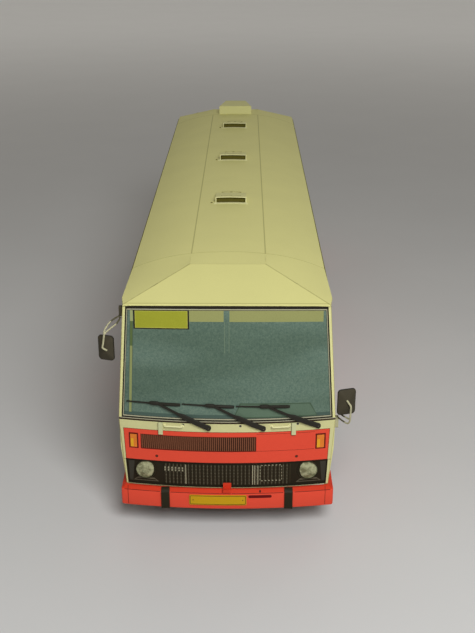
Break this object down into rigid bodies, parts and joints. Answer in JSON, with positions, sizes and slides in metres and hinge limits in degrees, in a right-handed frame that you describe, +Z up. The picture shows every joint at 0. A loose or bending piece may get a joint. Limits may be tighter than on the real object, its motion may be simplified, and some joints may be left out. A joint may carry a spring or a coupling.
{
  "type": "card scale model of a three-door city bus",
  "caption": "Paper model of a high-floor city bus with a cream roof, red lower body and rolling wheels.",
  "frame": {"origin": "on the ground, under the middle of the model", "axes": "+Z up, the front of the bus faces -Y, +X is the bus's own left side"},
  "size_m": [0.0672, 0.258, 0.0735],
  "materials": {
    "card_cream": "printed cream card",
    "card_cream_red": "printed cream and red card",
    "card_red": "printed red card",
    "card_glass": "printed teal-grey window print",
    "card_black": "printed black card",
    "card_slats": "printed brown slats",
    "card_lamp": "printed pale lamp glass",
    "card_orange": "printed orange lamp",
    "card_yellow": "blank yellow plate",
    "board_grey": "grey board",
    "tyre_board": "layered card tyre, black",
    "rim_board": "layered card rim, grey",
    "wire": "thin steel wire",
    "wiper_dark": "dark rolled paper rod"
  },
  "bodies": {
    "bus_body": {"axle_front": "wire", "axle_rear": "wire", "bearer_front": "board_grey", "bearer_rear": "board_grey", "bumper_front": "card_red", "bumper_rear": "card_red", "bumper_straps": "card_black", "door_front": "card_cream_red", "door_middle": "card_cream_red", "door_rear": "card_cream_red", "engine_hatch": "card_black", "floor": "board_grey", "front_panel": "card_cream_red", "grab_handles": "card_cream", "grille": "card_slats", "headlamp_left": "card_lamp", "headlamp_right": "card_lamp", "hinge_tabs": "card_cream", "indicators": "card_orange", "lamp_band": "card_black", "mirror_arm_left": "wire", "mirror_arm_right": "wire", "mirror_left": "card_black", "mirror_right": "card_black", "number_plate_front": "card_yellow", "number_plate_rear": "card_yellow", "rear_lower_panel": "card_red", "rear_upper_panel": "card_cream", "rear_window": "card_glass", "roof_intake": "card_cream", "roof_middle": "card_cream", "roof_nose": "card_cream", "roof_tail": "card_cream", "roof_vent_front": "card_cream", "roof_vent_middle": "card_cream", "roof_vent_rear": "card_cream", "side_left": "card_cream_red", "side_right": "card_cream_red", "tail_lamps": "card_orange", "tow_tab": "card_red", "well_front_left": "board_grey", "well_front_right": "board_grey", "well_rear_left": "board_grey", "well_rear_right": "board_grey", "windows_left": "card_glass", "windows_right_front": "card_glass", "windows_right_rear": "card_glass", "windscreen": "card_glass", "windscreen_frame": "card_cream", "wiper_left": "wiper_dark", "wiper_middle": "wiper_dark", "wiper_right": "wiper_dark"},
    "wheel_front_left": {"hub_front_left": "rim_board", "tyre_front_left": "tyre_board"},
    "wheel_front_right": {"hub_front_right": "rim_board", "tyre_front_right": "tyre_board"},
    "wheel_rear_left": {"hub_rear_left": "rim_board", "tyre_rear_left": "tyre_board"},
    "wheel_rear_right": {"hub_rear_right": "rim_board", "tyre_rear_right": "tyre_board"}
  },
  "joints": [
    {"name": "wheel_front_left_spin", "type": "hinge", "parent": "bus_body", "child": "wheel_front_left", "pos_m": [0.0239, -0.06875, 0.0121], "axis": [1, 0, 0], "continuous": true},
    {"name": "wheel_front_right_spin", "type": "hinge", "parent": "bus_body", "child": "wheel_front_right", "pos_m": [-0.0239, -0.06875, 0.0121], "axis": [1, 0, 0], "continuous": true},
    {"name": "wheel_rear_left_spin", "type": "hinge", "parent": "bus_body", "child": "wheel_rear_left", "pos_m": [0.0203, 0.06145, 0.0121], "axis": [1, 0, 0], "continuous": true},
    {"name": "wheel_rear_right_spin", "type": "hinge", "parent": "bus_body", "child": "wheel_rear_right", "pos_m": [-0.0203, 0.06145, 0.0121], "axis": [1, 0, 0], "continuous": true}
  ]
}
